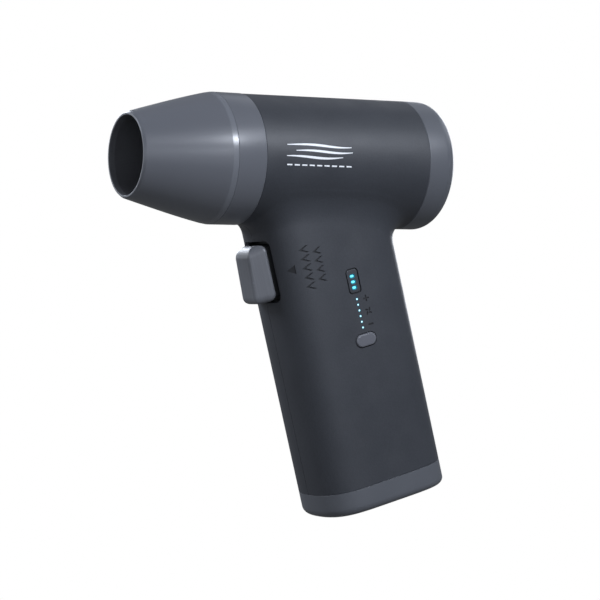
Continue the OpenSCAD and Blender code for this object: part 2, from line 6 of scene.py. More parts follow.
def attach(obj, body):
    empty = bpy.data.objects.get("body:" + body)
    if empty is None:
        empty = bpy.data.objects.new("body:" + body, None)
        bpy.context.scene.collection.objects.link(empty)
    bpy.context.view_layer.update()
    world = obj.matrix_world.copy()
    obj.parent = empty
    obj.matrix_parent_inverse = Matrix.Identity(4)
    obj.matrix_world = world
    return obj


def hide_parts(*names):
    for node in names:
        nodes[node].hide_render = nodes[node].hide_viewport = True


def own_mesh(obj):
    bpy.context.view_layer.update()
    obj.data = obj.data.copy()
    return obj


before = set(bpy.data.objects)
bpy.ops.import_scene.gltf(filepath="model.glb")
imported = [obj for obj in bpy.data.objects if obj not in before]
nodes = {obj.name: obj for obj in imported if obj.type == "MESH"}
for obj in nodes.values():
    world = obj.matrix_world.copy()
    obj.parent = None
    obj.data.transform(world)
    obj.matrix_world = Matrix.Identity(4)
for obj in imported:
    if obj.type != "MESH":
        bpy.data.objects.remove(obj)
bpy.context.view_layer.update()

# ------------------------------------------------------------------ frame and sizes, millimetres
TILT = math.radians(14.1)
CA, SA = math.cos(TILT), math.sin(TILT)
BX, BZ = -0.6, 141.7
GA, GB, BASE_H = 29.6, 19.5, 10.0
HF, HR = -29.4, 45.6
SEAM, TIP, CAPR = -41.6, -77.5, 59.5
WALL = 2.2
PITCH = 2.34


def B2R(p):
    p = np.asarray(p, float)
    x, y, z = p[..., 0], p[..., 1], p[..., 2]
    return np.stack([BX + x * CA + z * SA, y, BZ - x * SA + z * CA], -1)


def dirR(v):
    v = np.asarray(v, float)
    return np.array([v[0] * CA + v[2] * SA, v[1], -v[0] * SA + v[2] * CA])


# ------------------------------------------------------------------ camera
cam_data = bpy.data.cameras.new("camera")
cam = bpy.data.objects.new("camera", cam_data)
bpy.context.scene.collection.objects.link(cam)
bpy.context.scene.camera = cam
az = math.radians(-29.92)
back = np.array([math.sin(az), -math.cos(az), 0.0])
right = np.array([math.cos(az), math.sin(az), 0.0])
up = np.array([0.0, 0.0, 1.0])
pos = B2R(np.array([0, 0, -55.87]) + 833.5 * back)
m = np.eye(4)
m[:3, 0], m[:3, 1], m[:3, 2], m[:3, 3] = dirR(right), dirR(up), dirR(back), pos * 0.001
cam.matrix_world = Matrix(m.tolist())
cam_data.lens, cam_data.sensor_width, cam_data.sensor_fit = 123.86, 36.0, "HORIZONTAL"
cam_data.clip_start, cam_data.clip_end = 0.01, 20.0
cam_data.dof.use_dof = False

# ------------------------------------------------------------------ world, floor, lights
scene = bpy.context.scene
scene.view_settings.view_transform = "Standard"
scene.view_settings.look = "None"
world = bpy.data.worlds.new("studio")
scene.world = world
world.use_nodes = True
nt = world.node_tree
nt.nodes.clear()
out = nt.nodes.new("ShaderNodeOutputWorld")
mixw = nt.nodes.new("ShaderNodeMixShader")
lp = nt.nodes.new("ShaderNodeLightPath")
bg_cam = nt.nodes.new("ShaderNodeBackground")
bg_env = nt.nodes.new("ShaderNodeBackground")
bg_cam.inputs["Color"].default_value = (1, 1, 1, 1)
bg_cam.inputs["Strength"].default_value = 1.0
bg_env.inputs["Color"].default_value = (0.93, 0.96, 1.0, 1)
bg_env.inputs["Strength"].default_value = 0.155
nt.links.new(lp.outputs["Is Camera Ray"], mixw.inputs[0])
nt.links.new(bg_env.outputs[0], mixw.inputs[1])
nt.links.new(bg_cam.outputs[0], mixw.inputs[2])
nt.links.new(mixw.outputs[0], out.inputs[0])

fl_me = bpy.data.meshes.new("floor")
fl_me.from_pydata([(-6, -6, -0.0002), (6, -6, -0.0002), (6, 6, -0.0002), (-6, 6, -0.0002)], [], [(0, 1, 2, 3)])
floor = bpy.data.objects.new("floor", fl_me)
scene.collection.objects.link(floor)
fm = bpy.data.materials.new("floor_white")
fm.use_nodes = True
ft = fm.node_tree
ft.nodes.clear()
fo = ft.nodes.new("ShaderNodeOutputMaterial")
fe = ft.nodes.new("ShaderNodeEmission")
fe.inputs["Color"].default_value = (1, 1, 1, 1)
fe.inputs["Strength"].default_value = 1.0
ftr = ft.nodes.new("ShaderNodeBsdfTransparent")
fmx = ft.nodes.new("ShaderNodeMixShader")
fg = ft.nodes.new("ShaderNodeNewGeometry")
ft.links.new(fg.outputs["Backfacing"], fmx.inputs[0])
ft.links.new(fe.outputs[0], fmx.inputs[1])
ft.links.new(ftr.outputs[0], fmx.inputs[2])
ft.links.new(fmx.outputs[0], fo.inputs[0])
fl_me.materials.append(fm)
floor.visible_diffuse = False
floor.visible_glossy = False
floor.visible_transmission = False
floor.visible_shadow = False


def area(name, d, dist, sx, sy, power, aim=(0, 0, -25), col=(1, 1, 1)):
    """Area light in barrel-frame direction d from the aim point."""
    d = np.array(d, float)
    d /= np.linalg.norm(d)
    L = bpy.data.lights.new(name, "AREA")
    L.shape, L.size, L.size_y, L.energy, L.color = "RECTANGLE", sx, sy, power, col
    o = bpy.data.objects.new(name, L)
    scene.collection.objects.link(o)
    p = B2R(np.array(aim, float) + d * dist * 1000) * 0.001
    o.location = p
    o.rotation_mode = "QUATERNION"
    o.rotation_quaternion = Vector(dirR(d)).to_track_quat("Z", "Y")
    return o


# azimuth from straight in front of the panel side, positive towards the rear cap; elevation; width, height, watts
COOL = (0.90, 0.955, 1.06)
LIGHTS = [
    ("left_front", -30, 4, 0.4, 0.4, 0.7), ("front", 0, 0, 0.4, 0.4, 0.38), ("front_high", 0, 35, 0.4, 0.4, 0.35),
    ("key_low", 33, 28, 0.4, 0.12, 0.60), ("key_high", 33, 37, 0.4, 0.12, 0.60), ("shoulder", 11.5, 28, 0.11, 0.11, 4.6), ("shoulder_low", 3, 28, 0.2, 0.11, 0.25), ("left", -54, 4, 0.4, 0.4, 0.65),
    ("streak", -1, 9, 0.14, 0.02, 0.35),
    ("right_high", 60, 50, 0.4, 0.4, 0.09), ("right", 90, 30, 0.4, 0.4, 0.75), ("right_back", 130, 10, 0.4, 0.4, 1.7),
    ("right_top", 130, 45, 0.4, 0.4, 0.2), ("back", 180, 20, 0.4, 0.4, 4.15), ("left_back", -140, 10, 0.4, 0.4, 0.78),
    ("left_back_high", -120, 30, 0.4, 0.4, 4.6),
]
for nm, a_, e_, w_, h_, p_ in LIGHTS:
    a_, e_ = math.radians(a_), math.radians(e_)
    area(nm, (math.sin(a_) * math.cos(e_), -math.cos(a_) * math.cos(e_), math.sin(e_)), 0.9, w_, h_, p_, aim=(0, 0, 0), col=COOL)


# ------------------------------------------------------------------ materials
def material(name, base, rough=0.5, metal=0.0, grain=0.25, bump=0.05, var=0.06, rvar=0.08, spec=0.5, streak=0.0,
             coat=0.0, wear=0.0, wear_col=(0.3, 0.3, 0.32), emis=None, estr=0.0, sheen=0.0, aniso=0.0):
    """Moulded or machined finish. grain: size of the fine texture, mm; bump: its height, mm; var: colour variation;
    rvar: roughness variation; streak: drawn lines along Z of the row frame; wear: lighter rubbed spots."""
    mt = bpy.data.materials.new(name)
    mt.use_nodes = True
    t = mt.node_tree
    t.nodes.clear()
    N, K = t.nodes.new, t.links.new
    o = N("ShaderNodeOutputMaterial")
    p = N("ShaderNodeBsdfPrincipled")
    K(p.outputs[0], o.inputs[0])
    p.inputs["Metallic"].default_value = metal
    p.inputs["Specular IOR Level"].default_value = spec
    p.inputs["Coat Weight"].default_value = coat
    p.inputs["Coat Roughness"].default_value = 0.25
    p.inputs["Sheen Weight"].default_value = sheen
    p.inputs["Anisotropic"].default_value = aniso
    tc = N("ShaderNodeTexCoord")
    big = N("ShaderNodeTexNoise")
    big.inputs["Scale"].default_value = 38.0
    big.inputs["Detail"].default_value = 3.0
    K(tc.outputs["Object"], big.inputs["Vector"])
    fine = N("ShaderNodeTexNoise")
    fine.inputs["Scale"].default_value = 1000.0 / max(grain, 0.02) * 0.5
    fine.inputs["Detail"].default_value = 2.0
    src = tc.outputs["Object"]
    if streak:
        mp = N("ShaderNodeMapping")
        mp.inputs["Scale"].default_value = (1.0, 1.0, 0.03)
        K(src, mp.inputs["Vector"])
        K(mp.outputs[0], fine.inputs["Vector"])
    else:
        K(src, fine.inputs["Vector"])
    # colour: slow variation and fine speckle round the base colour
    c0 = tuple(b * (1 - var) for b in base) + (1,)
    c1 = tuple(min(1, b * (1 + var)) for b in base) + (1,)
    ramp = N("ShaderNodeMapRange")
    ramp.inputs["From Min"].default_value, ramp.inputs["From Max"].default_value = 0.3, 0.7
    K(big.outputs[0], ramp.inputs["Value"])
    mc = N("ShaderNodeMix")
    mc.data_type = "RGBA"
    mc.inputs[6].default_value, mc.inputs[7].default_value = c0, c1
    K(ramp.outputs[0], mc.inputs[0])
    sp = N("ShaderNodeMapRange")
    sp.inputs["From Min"].default_value, sp.inputs["From Max"].default_value = 0.35, 0.65
    sp.inputs["To Min"].default_value, sp.inputs["To Max"].default_value = 1 - var, 1 + var
    K(fine.outputs[0], sp.inputs["Value"])
    mul = N("ShaderNodeMix")
    mul.data_type, mul.blend_type = "RGBA", "MULTIPLY"
    mul.inputs[0].default_value = 1.0
    K(mc.outputs[2], mul.inputs[6])
    K(sp.outputs[0], mul.inputs[7])
    col = mul.outputs[2]
    if wear:
        wn = N("ShaderNodeTexNoise")
        wn.inputs["Scale"].default_value = 420.0
        wn.inputs["Detail"].default_value = 4.0
        K(tc.outputs["Object"], wn.inputs["Vector"])
        ge = N("ShaderNodeNewGeometry")
        er = N("ShaderNodeMapRange")
        er.inputs["From Min"].default_value, er.inputs["From Max"].default_value = 0.53, 0.62
        K(ge.outputs["Pointiness"], er.inputs["Value"])
        wr = N("ShaderNodeMapRange")
        wr.inputs["From Min"].default_value, wr.inputs["From Max"].default_value = 0.42, 0.66
        K(wn.outputs[0], wr.inputs["Value"])
        wm = N("ShaderNodeMath")
        wm.operation = "MULTIPLY"
        K(er.outputs[0], wm.inputs[0])
        K(wr.outputs[0], wm.inputs[1])
        wk = N("ShaderNodeMath")
        wk.operation = "MULTIPLY"
        wk.inputs[1].default_value = wear
        K(wm.outputs[0], wk.inputs[0])
        mw = N("ShaderNodeMix")
        mw.data_type = "RGBA"
        mw.inputs[7].default_value = tuple(wear_col) + (1,)
        K(wk.outputs[0], mw.inputs[0])
        K(col, mw.inputs[6])
        col = mw.outputs[2]
    K(col, p.inputs["Base Color"])
    rr = N("ShaderNodeMapRange")
    rr.inputs["From Min"].default_value, rr.inputs["From Max"].default_value = 0.3, 0.7
    rr.inputs["To Min"].default_value, rr.inputs["To Max"].default_value = max(0.03, rough - rvar), min(1, rough + rvar)
    rmix = N("ShaderNodeTexNoise")
    rmix.inputs["Scale"].default_value = 95.0
    rmix.inputs["Detail"].default_value = 2.0
    K(tc.outputs["Object"], rmix.inputs["Vector"])
    K(rmix.outputs[0], rr.inputs["Value"])
    K(rr.outputs[0], p.inputs["Roughness"])
    if bump:
        b = N("ShaderNodeBump")
        b.inputs["Strength"].default_value = 1.0
        b.inputs["Distance"].default_value = bump * 0.001
        K(fine.outputs[0], b.inputs["Height"])
        K(b.outputs[0], p.inputs["Normal"])
    if emis:
        p.inputs["Emission Color"].default_value = tuple(emis) + (1,)
        p.inputs["Emission Strength"].default_value = estr
    return mt


def srgb(r, g, b):
    return tuple(((v / 255 + 0.055) / 1.055) ** 2.4 if v > 10 else v / 255 / 12.92 for v in (r, g, b))


M = {}
M["housing"] = material("housing_grain", (0.0376, 0.0409, 0.0492), 0.46, grain=0.34, bump=0.026, var=0.05, rvar=0.05, wear=0.15, wear_col=(0.09, 0.095, 0.11))
M["satin"] = material("satin_grey", (0.117, 0.123, 0.140), 0.28, grain=0.22, bump=0.0012, var=0.012, rvar=0.006)
# lighter copy of the nozzle satin for its rounded rear bevel band: painted highlight
M["satin_bevel_painted_highlight"] = material("satin_bevel_painted_highlight", (0.146, 0.154, 0.174), 0.27, grain=0.22, bump=0.0012, var=0.012, rvar=0.006)
M["satin_cap"] = material("satin_cap", (0.101, 0.107, 0.122), 0.36, grain=0.22, bump=0.0014, var=0.012, rvar=0.008)
# nozzle bore: rougher satin for the inside of the nozzle, its darker tone painted shade
M["satin_bore_painted_shade"] = material("nozzle_inside_painted_shade", (0.100, 0.102, 0.112), 0.5, grain=0.2, bump=0.006, var=0.06)
M["base"] = material("satin_base", (0.098, 0.104, 0.118), 0.40, grain=0.12, bump=0.002, var=0.025, rvar=0.04, wear=0.25, wear_col=(0.2, 0.2, 0.22))
M["trigger"] = material("trigger_brushed", (0.138, 0.143, 0.158), 0.33, grain=0.30, bump=0.005, var=0.05, rvar=0.05, streak=1, wear=0.25, wear_col=(0.24, 0.25, 0.28))
M["button"] = material("button_satin", (0.118, 0.122, 0.140), 0.42, grain=0.14, bump=0.003, var=0.03)
M["white"] = material("print_white", (0.90, 0.92, 0.95), 0.5, grain=0.1, bump=0.001, var=0.02)
M["black"] = material("black_plastic", (0.016, 0.017, 0.019), 0.45, grain=0.3, bump=0.01, var=0.1)
M["mark"] = material("mark_dark", (0.012, 0.013, 0.016), 0.6, grain=0.2, bump=0.006, var=0.08)
M["bar"] = material("bar_lit", (0.10, 0.55, 0.65), 0.3, grain=0.2, bump=0.002, var=0.05, emis=srgb(112, 222, 240), estr=1.0)
# painted glow: teal emission on the lens standing in for the indicator lights' light spilling round the bars and dots
M["halo"] = material("painted_glow_teal", (0.01, 0.10, 0.13), 0.4, grain=0.2, bump=0.002, var=0.08, emis=srgb(14, 98, 122), estr=0.7)
M["dot"] = material("dot_lit", (0.5, 0.8, 0.85), 0.3, grain=0.2, bump=0.002, var=0.04, emis=srgb(205, 246, 255), estr=1.0)
M["alu"] = material("aluminium", (0.60, 0.61, 0.63), 0.32, 0.9, grain=0.25, bump=0.004, var=0.04, streak=0)
M["steel"] = material("steel", (0.55, 0.55, 0.57), 0.25, 1.0, grain=0.2, bump=0.002, var=0.05)
M["blacksteel"] = material("steel_dark", (0.11, 0.11, 0.12), 0.35, 0.8, grain=0.2, bump=0.003, var=0.1)
M["copper"] = material("copper_wire", (0.62, 0.27, 0.12), 0.35, 0.9, grain=0.45, bump=0.03, var=0.15, streak=1)
M["pcb"] = material("circuit_board", (0.012, 0.085, 0.045), 0.38, grain=1.2, bump=0.01, var=0.2)
M["chip"] = material("chip_epoxy", (0.018, 0.018, 0.020), 0.55, grain=0.1, bump=0.006, var=0.12)
M["cell"] = material("cell_wrap", (0.035, 0.16, 0.36), 0.35, grain=2.5, bump=0.02, var=0.06)
M["holder"] = material("holder_black", (0.022, 0.022, 0.024), 0.55, grain=0.3, bump=0.012, var=0.1)
M["nickel"] = material("nickel", (0.62, 0.60, 0.55), 0.3, 1.0, grain=0.6, bump=0.006, var=0.08)
M["foam"] = material("foam", (0.05, 0.05, 0.055), 0.95, grain=0.5, bump=0.2, var=0.25)
M["rubber"] = material("rubber", (0.015, 0.015, 0.016), 0.75, grain=0.3, bump=0.012, var=0.12)
M["red"] = material("wire_red", (0.45, 0.02, 0.015), 0.45, grain=0.4, bump=0.01, var=0.08)
M["wire"] = material("wire_black", (0.02, 0.02, 0.022), 0.5, grain=0.4, bump=0.01, var=0.08)
M["fan"] = material("fan_plastic", (0.030, 0.032, 0.037), 0.42, grain=0.4, bump=0.012, var=0.1)
M["mesh"] = material("filter_mesh", (0.16, 0.16, 0.165), 0.5, grain=0.4, bump=0.03, var=0.12)
M["magnet"] = material("magnet", (0.25, 0.25, 0.27), 0.4, 0.8, grain=0.4, bump=0.004, var=0.1)
M["can"] = material("capacitor_sleeve", (0.03, 0.035, 0.09), 0.35, grain=1.0, bump=0.006, var=0.06)
M["led"] = material("led_body", (0.75, 0.74, 0.62), 0.35, grain=0.2, bump=0.003, var=0.05)


# ------------------------------------------------------------------ mesh helpers
def finish_mesh(me, angle=32):
    bm = bmesh.new()
    bm.from_mesh(me)
    bmesh.ops.recalc_face_normals(bm, faces=bm.faces)
    lim = math.radians(angle)
    for e in bm.edges:
        e.smooth = not (len(e.link_faces) == 2 and e.calc_face_angle(0) > lim)
    for f in bm.faces:
        f.smooth = True
    bm.to_mesh(me)
    bm.free()


def make(name, verts, faces, mats, slots=None, body="body", stands_for=(), angle=32, link=True):
    me = bpy.data.meshes.new(name)
    me.from_pydata([tuple(v) for v in (np.asarray(verts) * 0.001).tolist()], [], [tuple(int(i) for i in f) for f in faces])
    for k in (mats if isinstance(mats, (list, tuple)) else [mats]):
        me.materials.append(M[k])
    if slots is not None:
        me.polygons.foreach_set("material_index", np.asarray(slots, np.int32))
    finish_mesh(me, angle)
    o = bpy.data.objects.new(name, me)
    scene.collection.objects.link(o)
    if link:
        settle(o, body, stands_for)
    return o


def settle(o, body, stands_for=()):
    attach(o, body)
    if stands_for:
        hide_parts(*stands_for)


def fillet(pts, closed=True, k=5):
    """pts: (x, y, r) corners; r rounds the corner."""
    outp = []
    n = len(pts)
    for i, (x, y, r) in enumerate(pts):
        if r <= 0 or (not closed and i in (0, n - 1)):
            outp.append((x, y))
            continue
        p = np.array([x, y])
        a = np.array(pts[i - 1][:2]) - p
        b = np.array(pts[(i + 1) % n][:2]) - p
        la, lb = np.linalg.norm(a), np.linalg.norm(b)
        a, b = a / la, b / lb
        th = math.acos(np.clip(a @ b, -1, 1))
        if th > 3.13:
            outp.append((x, y))
            continue
        t = min(r / math.tan(th / 2), 0.48 * la, 0.48 * lb)
        rr = t * math.tan(th / 2)
        bis = (a + b) / np.linalg.norm(a + b)
        c = p + bis * rr / math.sin(th / 2)
        p0, p1 = p + a * t - c, p + b * t - c
        a0 = math.atan2(p0[1], p0[0])
        a1 = math.atan2(p1[1], p1[0])
        da = (a1 - a0 + math.pi) % (2 * math.pi) - math.pi
        for j in range(k + 1):
            w = a0 + da * j / k
            outp.append((c[0] + rr * math.cos(w), c[1] + rr * math.sin(w)))
    return outp


def arc(cx, cy, r, a0, a1, k=12):
    return [(cx + r * math.cos(math.radians(a0 + (a1 - a0) * i / k)), cy + r * math.sin(math.radians(a0 + (a1 - a0) * i / k)), 0) for i in range(k + 1)]


def turned(name, pts, mats, seg=192, slot_of=None, body="body", stands_for=(), angle=32, link=True):
    """Ring turned about the barrel axis from a closed (x, r) profile."""
    P = np.array(pts)
    n = len(P)
    th = np.arange(seg) * 2 * math.pi / seg
    V = np.zeros((seg, n, 3))
    V[:, :, 0] = P[None, :, 0]
    V[:, :, 1] = P[None, :, 1] * np.cos(th)[:, None]
    V[:, :, 2] = P[None, :, 1] * np.sin(th)[:, None]
    V = B2R(V.reshape(-1, 3))
    i = np.arange(seg)[:, None]
    j = np.arange(n)[None, :]
    F = np.stack([i * n + j, i * n + (j + 1) % n, ((i + 1) % seg) * n + (j + 1) % n, ((i + 1) % seg) * n + j], -1).reshape(-1, 4)
    slots = None
    if slot_of is not None:
        per = [slot_of((P[a] + P[(a + 1) % n]) / 2, a) for a in range(n)]
        slots = np.tile(per, seg)
    return make(name, V, F, mats, slots, body, stands_for, angle, link)


def oval(a, b, n, p=4.6, q=2.3):
    t = (np.arange(n) + 0.5) * 2 * math.pi / n
    c, s = np.cos(t), np.sin(t)
    return np.stack([a * np.sign(c) * np.abs(c) ** (2 / p), b * np.sign(s) * np.abs(s) ** (2 / q)], -1)


def resample(P, n):
    P = np.vstack([P, P[:1]])
    d = np.concatenate([[0], np.cumsum(np.linalg.norm(np.diff(P, axis=0), axis=1))])
    u = np.linspace(0, d[-1], n, endpoint=False)
    return np.stack([np.interp(u, d, P[:, k]) for k in range(2)], -1)


def rrect(w, h, r, k=8):
    o = []
    for sx, sy, a in ((1, 1, 0), (-1, 1, 90), (-1, -1, 180), (1, -1, 270)):
        for i in range(k + 1):
            w_ = math.radians(a + 90 * i / k)
            o.append((sx * (w / 2 - r) + r * math.cos(w_), sy * (h / 2 - r) + r * math.sin(w_)))
    return np.array(o)


def loft(rings, cap=(True, True)):
    """rings: list of (n,3). Returns verts, faces."""
    n, mm = len(rings[0]), len(rings)
    V = np.vstack(rings)
    F = []
    for j in range(mm - 1):
        for i in range(n):
            F.append((j * n + i, j * n + (i + 1) % n, (j + 1) * n + (i + 1) % n, (j + 1) * n + i))
    if cap[0]:
        F.append(tuple(range(n))[::-1])
    if cap[1]:
        F.append(tuple((mm - 1) * n + i for i in range(n)))
    return V, F


def prism_y(pts, y0, y1):
    """Closed prism along Y from an (x, z) outline."""
    P = np.asarray(pts)
    a = np.stack([P[:, 0], np.full(len(P), y0), P[:, 1]], -1)
    b = np.stack([P[:, 0], np.full(len(P), y1), P[:, 1]], -1)
    return loft([a, b])


def prism_x(pts, x0, x1):
    """Closed prism along X from a (z, y) outline."""
    P = np.asarray(pts)
    a = np.stack([np.full(len(P), x0), P[:, 1], P[:, 0]], -1)
    b = np.stack([np.full(len(P), x1), P[:, 1], P[:, 0]], -1)
    return loft([a, b])


def circle(cx, cz, r, n=32):
    t = np.arange(n) * 2 * math.pi / n
    return np.stack([cx + r * np.cos(t), cz + r * np.sin(t)], -1)


def joined(parts):
    V, F, base = [], [], 0
    for v, f in parts:
        V.append(np.asarray(v))
        F += [tuple(i + base for i in q) for q in f]
        base += len(v)
    return np.vstack(V), F


def boolean(o, cutter_parts, op="DIFFERENCE", mat=None):
    """Exact boolean with a joined set of closed cutters, applied to the mesh."""
    V, F = joined(cutter_parts)
    me = bpy.data.meshes.new("cut")
    me.from_pydata([tuple(v) for v in (V * 0.001).tolist()], [], F)
    bm = bmesh.new()
    bm.from_mesh(me)
    bmesh.ops.recalc_face_normals(bm, faces=bm.faces)
    bm.to_mesh(me)
    bm.free()
    me.materials.append(M[mat] if mat else o.data.materials[0])
    c = bpy.data.objects.new("cut", me)
    scene.collection.objects.link(c)
    md = o.modifiers.new("b", "BOOLEAN")
    md.operation, md.solver, md.object = op, "EXACT", c
    md.material_mode = "TRANSFER"
    md.use_self = False
    dg = bpy.context.evaluated_depsgraph_get()
    new = bpy.data.meshes.new_from_object(o.evaluated_get(dg), depsgraph=dg)
    o.modifiers.clear()
    old = o.data
    o.data = new
    new.name = o.name
    bpy.data.objects.remove(c)
    bpy.data.meshes.remove(me)
    bpy.data.meshes.remove(old)


# ------------------------------------------------------------------ housing surface
half = 900
tt = (np.arange(half) + 0.5) * math.pi / half
c_, s_ = np.cos(tt), np.sin(tt)
dense = np.stack([GA * np.sign(c_) * np.abs(c_) ** (2 / 4.6), GB * np.abs(s_) ** (2 / 2.3)], -1)
seg = np.concatenate([[0], np.cumsum(np.linalg.norm(np.diff(dense, axis=0), axis=1))])
NO = 700
uu = np.linspace(0, seg[-1], NO)
OUT = np.stack([np.interp(uu, seg, dense[:, k]) for k in range(2)], -1)
OUT[0, 1] = OUT[-1, 1] = 0.0
tan = np.gradient(OUT, axis=0)
NRM = np.stack([tan[:, 1], -tan[:, 0]], -1)
NRM /= np.linalg.norm(NRM, axis=1)[:, None]
NRM[0], NRM[-1] = (1, 0), (-1, 0)


def barrel_r(xb):
    return 26.0 + 0.5 * (xb - HF) / (HR - HF)


# lower surface of the barrel over a point of the plan
def barrel_under(x, y):
    z = np.full_like(x, BZ - 26.0)
    for _ in range(4):
        xb = (x - BX) * CA - (z - BZ) * SA
        R = barrel_r(xb)
        zb = -np.sqrt(np.maximum(R * R - y * y, 0))
        z = BZ + (zb - (x - BX) * SA) / CA
    return np.where(np.abs(y) < R, z, 1e6)


# rolling fillet between grip and barrel: per outline point, its centre height and where it meets the barrel
w_side = np.abs(NRM[:, 1]) ** 2.2
RF = 6.0 + 22.0 * w_side
ss = np.linspace(0, 1, 260)
S = ss[None, :] * RF[:, None]
XS = OUT[:, 0:1] + S * NRM[:, 0:1]
YS = OUT[:, 1:2] + S * NRM[:, 1:2]
ZS = barrel_under(XS, YS)
lo = np.full(NO, 60.0)
hi = ZS[:, 0].copy()
for _ in range(46):
    mid = (lo + hi) / 2
    d = np.sqrt((S - RF[:, None]) ** 2 + (ZS - mid[:, None]) ** 2).min(1)
    near = d < RF
    hi = np.where(near, mid, hi)
    lo = np.where(near, lo, mid)
ZC = lo
dd = np.sqrt((S - RF[:, None]) ** 2 + (ZS - ZC[:, None]) ** 2)
ia = dd.argmin(1)
ST = S[np.arange(NO), ia]
ker = np.ones(15) / 15
ZC = np.convolve(np.pad(ZC, 7, mode="edge"), ker, "valid")
ST = np.convolve(np.pad(ST, 7, mode="edge"), ker, "valid")

# table: distance to the outline and place along it
TX = np.arange(-48, 62.01, 0.5)
TY = np.arange(-0.5, 40.01, 0.5)
gx, gy = np.meshgrid(TX, TY, indexing="ij")
q = np.stack([gx.ravel(), gy.ravel()], -1)
best = np.zeros(len(q), int)
bd = np.full(len(q), 1e9)
for k0 in range(0, NO, 50):
    d2 = ((q[:, None, :] - OUT[None, k0:k0 + 50]) ** 2).sum(-1)
    im = d2.argmin(1)
    dm = d2[np.arange(len(q)), im]
    upd = dm < bd
    best[upd], bd[upd] = im[upd] + k0, dm[upd]
sd = ((q - OUT[best]) * NRM[best]).sum(1)
T_S = sd.reshape(gx.shape)
T_U = best.astype(float).reshape(gx.shape)


def bil(T, x, y):
    fx = np.clip((x - TX[0]) / 0.5, 0, len(TX) - 1.001)
    fy = np.clip((y - TY[0]) / 0.5, 0, len(TY) - 1.001)
    ix, iy = fx.astype(int), fy.astype(int)
    ax, ay = fx - ix, fy - iy
    return ((1 - ax) * (1 - ay) * T[ix, iy] + ax * (1 - ay) * T[ix + 1, iy] + (1 - ax) * ay * T[ix, iy + 1] + ax * ay * T[ix + 1, iy + 1])


def field(P):
    """Signed size of the housing's outside, row frame, millimetres. Negative inside."""
    x, y, z = P[..., 0], np.abs(P[..., 1]), P[..., 2]
    xb = (x - BX) * CA - (z - BZ) * SA
    zb = (x - BX) * SA + (z - BZ) * CA
    fb = np.sqrt(y * y + zb * zb) - barrel_r(xb)
    s = bil(T_S, x, y)
    u = bil(T_U, x, y)
    i0 = np.clip(u.astype(int), 0, NO - 2)
    a = u - i0
    zc = ZC[i0] * (1 - a) + ZC[i0 + 1] * a
    st = ST[i0] * (1 - a) + ST[i0 + 1] * a
    rf = RF[i0] * (1 - a) + RF[i0 + 1] * a
    h = np.maximum(z - zc, 0)
    dl = np.where(h >= rf, st, rf - np.sqrt(np.maximum(rf * rf - h * h, 0)))
    dl = np.minimum(dl, st)
    fh = np.maximum(s - dl, zb + 6)
    k = 0.5
    hh = np.clip(0.5 + 0.5 * (fh - fb) / k, 0, 1)
    return fh * (1 - hh) + fb * hh - k * hh * (1 - hh)


def gradient(P, e=0.05):
    G = np.stack([(field(P + d) - field(P - d)) / (2 * e) for d in (np.array([e, 0, 0]), np.array([0, e, 0]), np.array([0, 0, e]))], -1)
    return G


def surface_nets(lo, hi, h, field=None, gradient=None):
    ax = [np.arange(lo[k], hi[k] + h, h) for k in range(3)]
    shape = [len(a) for a in ax]
    F = np.empty(shape)
    for i, x in enumerate(ax[0]):
        Y, Z = np.meshgrid(ax[1], ax[2], indexing="ij")
        F[i] = field(np.stack([np.full_like(Y, x), Y, Z], -1))
    nx, ny, nz = [n - 1 for n in shape]
    cnt = np.zeros((nx, ny, nz))
    P = np.zeros((nx, ny, nz, 3))

    def corner(o):
        return F[o[0]:o[0] + nx, o[1]:o[1] + ny, o[2]:o[2] + nz]
    for axis in range(3):
        other = [k for k in range(3) if k != axis]
        for u in (0, 1):
            for v in (0, 1):
                a = [0, 0, 0]
                a[other[0]], a[other[1]] = u, v
                b = list(a)
                b[axis] = 1
                va, vb = corner(a), corner(b)
                mk = (va < 0) != (vb < 0)
                t = np.where(mk, va / np.where(mk, va - vb, 1), 0)
                cnt += mk
                for k in range(3):
                    P[..., k] += mk * (a[k] + (t if k == axis else 0))
    act = cnt > 0
    idx = -np.ones(cnt.shape, int)
    idx[act] = np.arange(act.sum())
    cells = np.argwhere(act)
    V = (cells + P[act] / cnt[act][:, None]) * h + np.array([a[0] for a in ax])
    Q = []
    sg = F < 0
    for axis in range(3):
        sl0 = [slice(1, -1)] * 3
        sl0[axis] = slice(0, -1)
        sl1 = [slice(1, -1)] * 3
        sl1[axis] = slice(1, None)
        s0, s1 = sg[tuple(sl0)], sg[tuple(sl1)]
        e = np.argwhere(s0 != s1)
        off = np.array([1, 1, 1])
        off[axis] = 0
        g = e + off
        flip = s0[tuple(e.T)]
        b, c = [k for k in range(3) if k != axis]
        ring = []
        for db, dc in ((1, 1), (0, 1), (0, 0), (1, 0)):
            cc = g.copy()
            cc[:, b] -= db
            cc[:, c] -= dc
            ring.append(idx[tuple(cc.T)])
        R = np.stack(ring, 1)
        R[~flip] = R[~flip][:, ::-1]
        if axis == 1:
            R = R[:, ::-1]
        Q.append(R)
    Q = np.vstack(Q)
    Q = Q[(Q >= 0).all(1)]
    for _ in range(3):
        g = gradient(V)
        f = field(V)
        V = V - (f / np.maximum((g * g).sum(-1), 0.2))[:, None] * g
    return V, Q


HV, HQ = surface_nets((-46, -30, 6), (60, 0.9, 176), 0.85, field, gradient)


